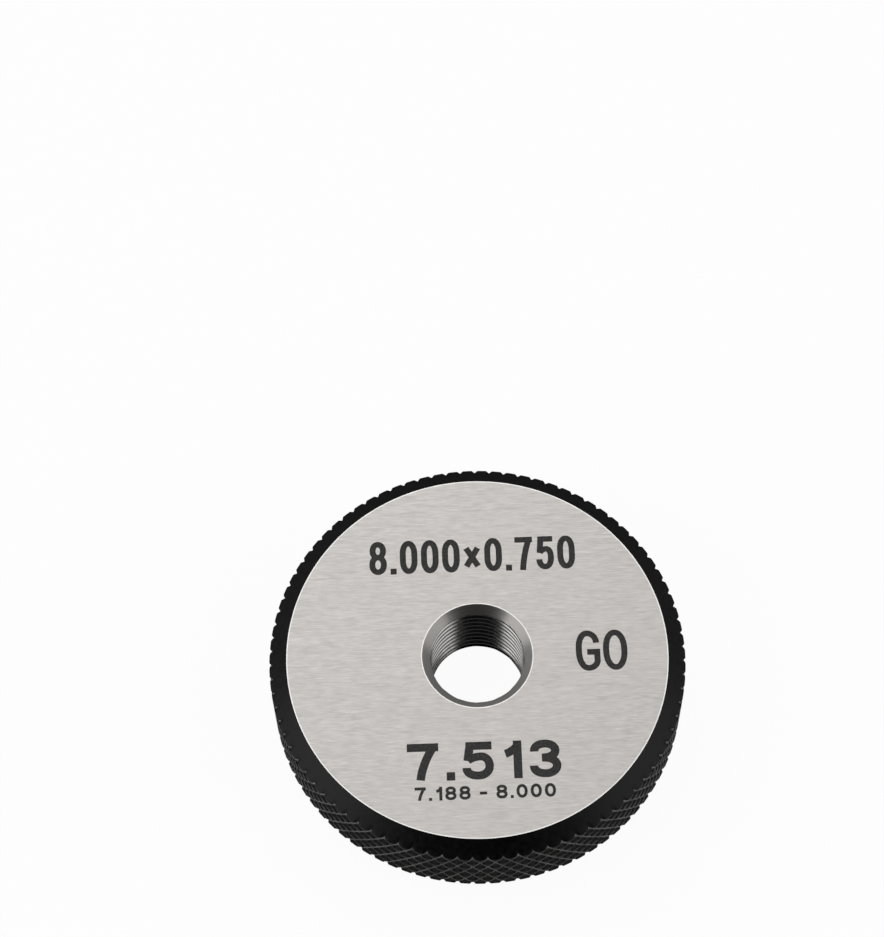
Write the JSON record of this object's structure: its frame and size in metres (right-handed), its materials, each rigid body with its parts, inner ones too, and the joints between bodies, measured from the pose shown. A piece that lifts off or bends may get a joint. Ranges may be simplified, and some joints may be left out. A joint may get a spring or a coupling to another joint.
{
  "type": "thread ring gauge",
  "caption": "Solid round thread ring gauge with a cross-knurled rim, chamfered edges, two flat ground faces and a countersunk threaded bore through the middle.",
  "frame": {"origin": "on the thread axis at the underside face, where the gauge lies on a table", "axes": "+Z along the thread axis, up out of the marked face; +X to the right of the marking as it is read; +Y away from the reader"},
  "size_m": [0.032, 0.032, 0.008],
  "materials": {
    "steel": "hardened tool steel: faces ground bright with straight fine marks, rim chamfers and knurl blackened"
  },
  "bodies": {
    "root": {"ring_gauge": "steel"}
  },
  "joints": []
}
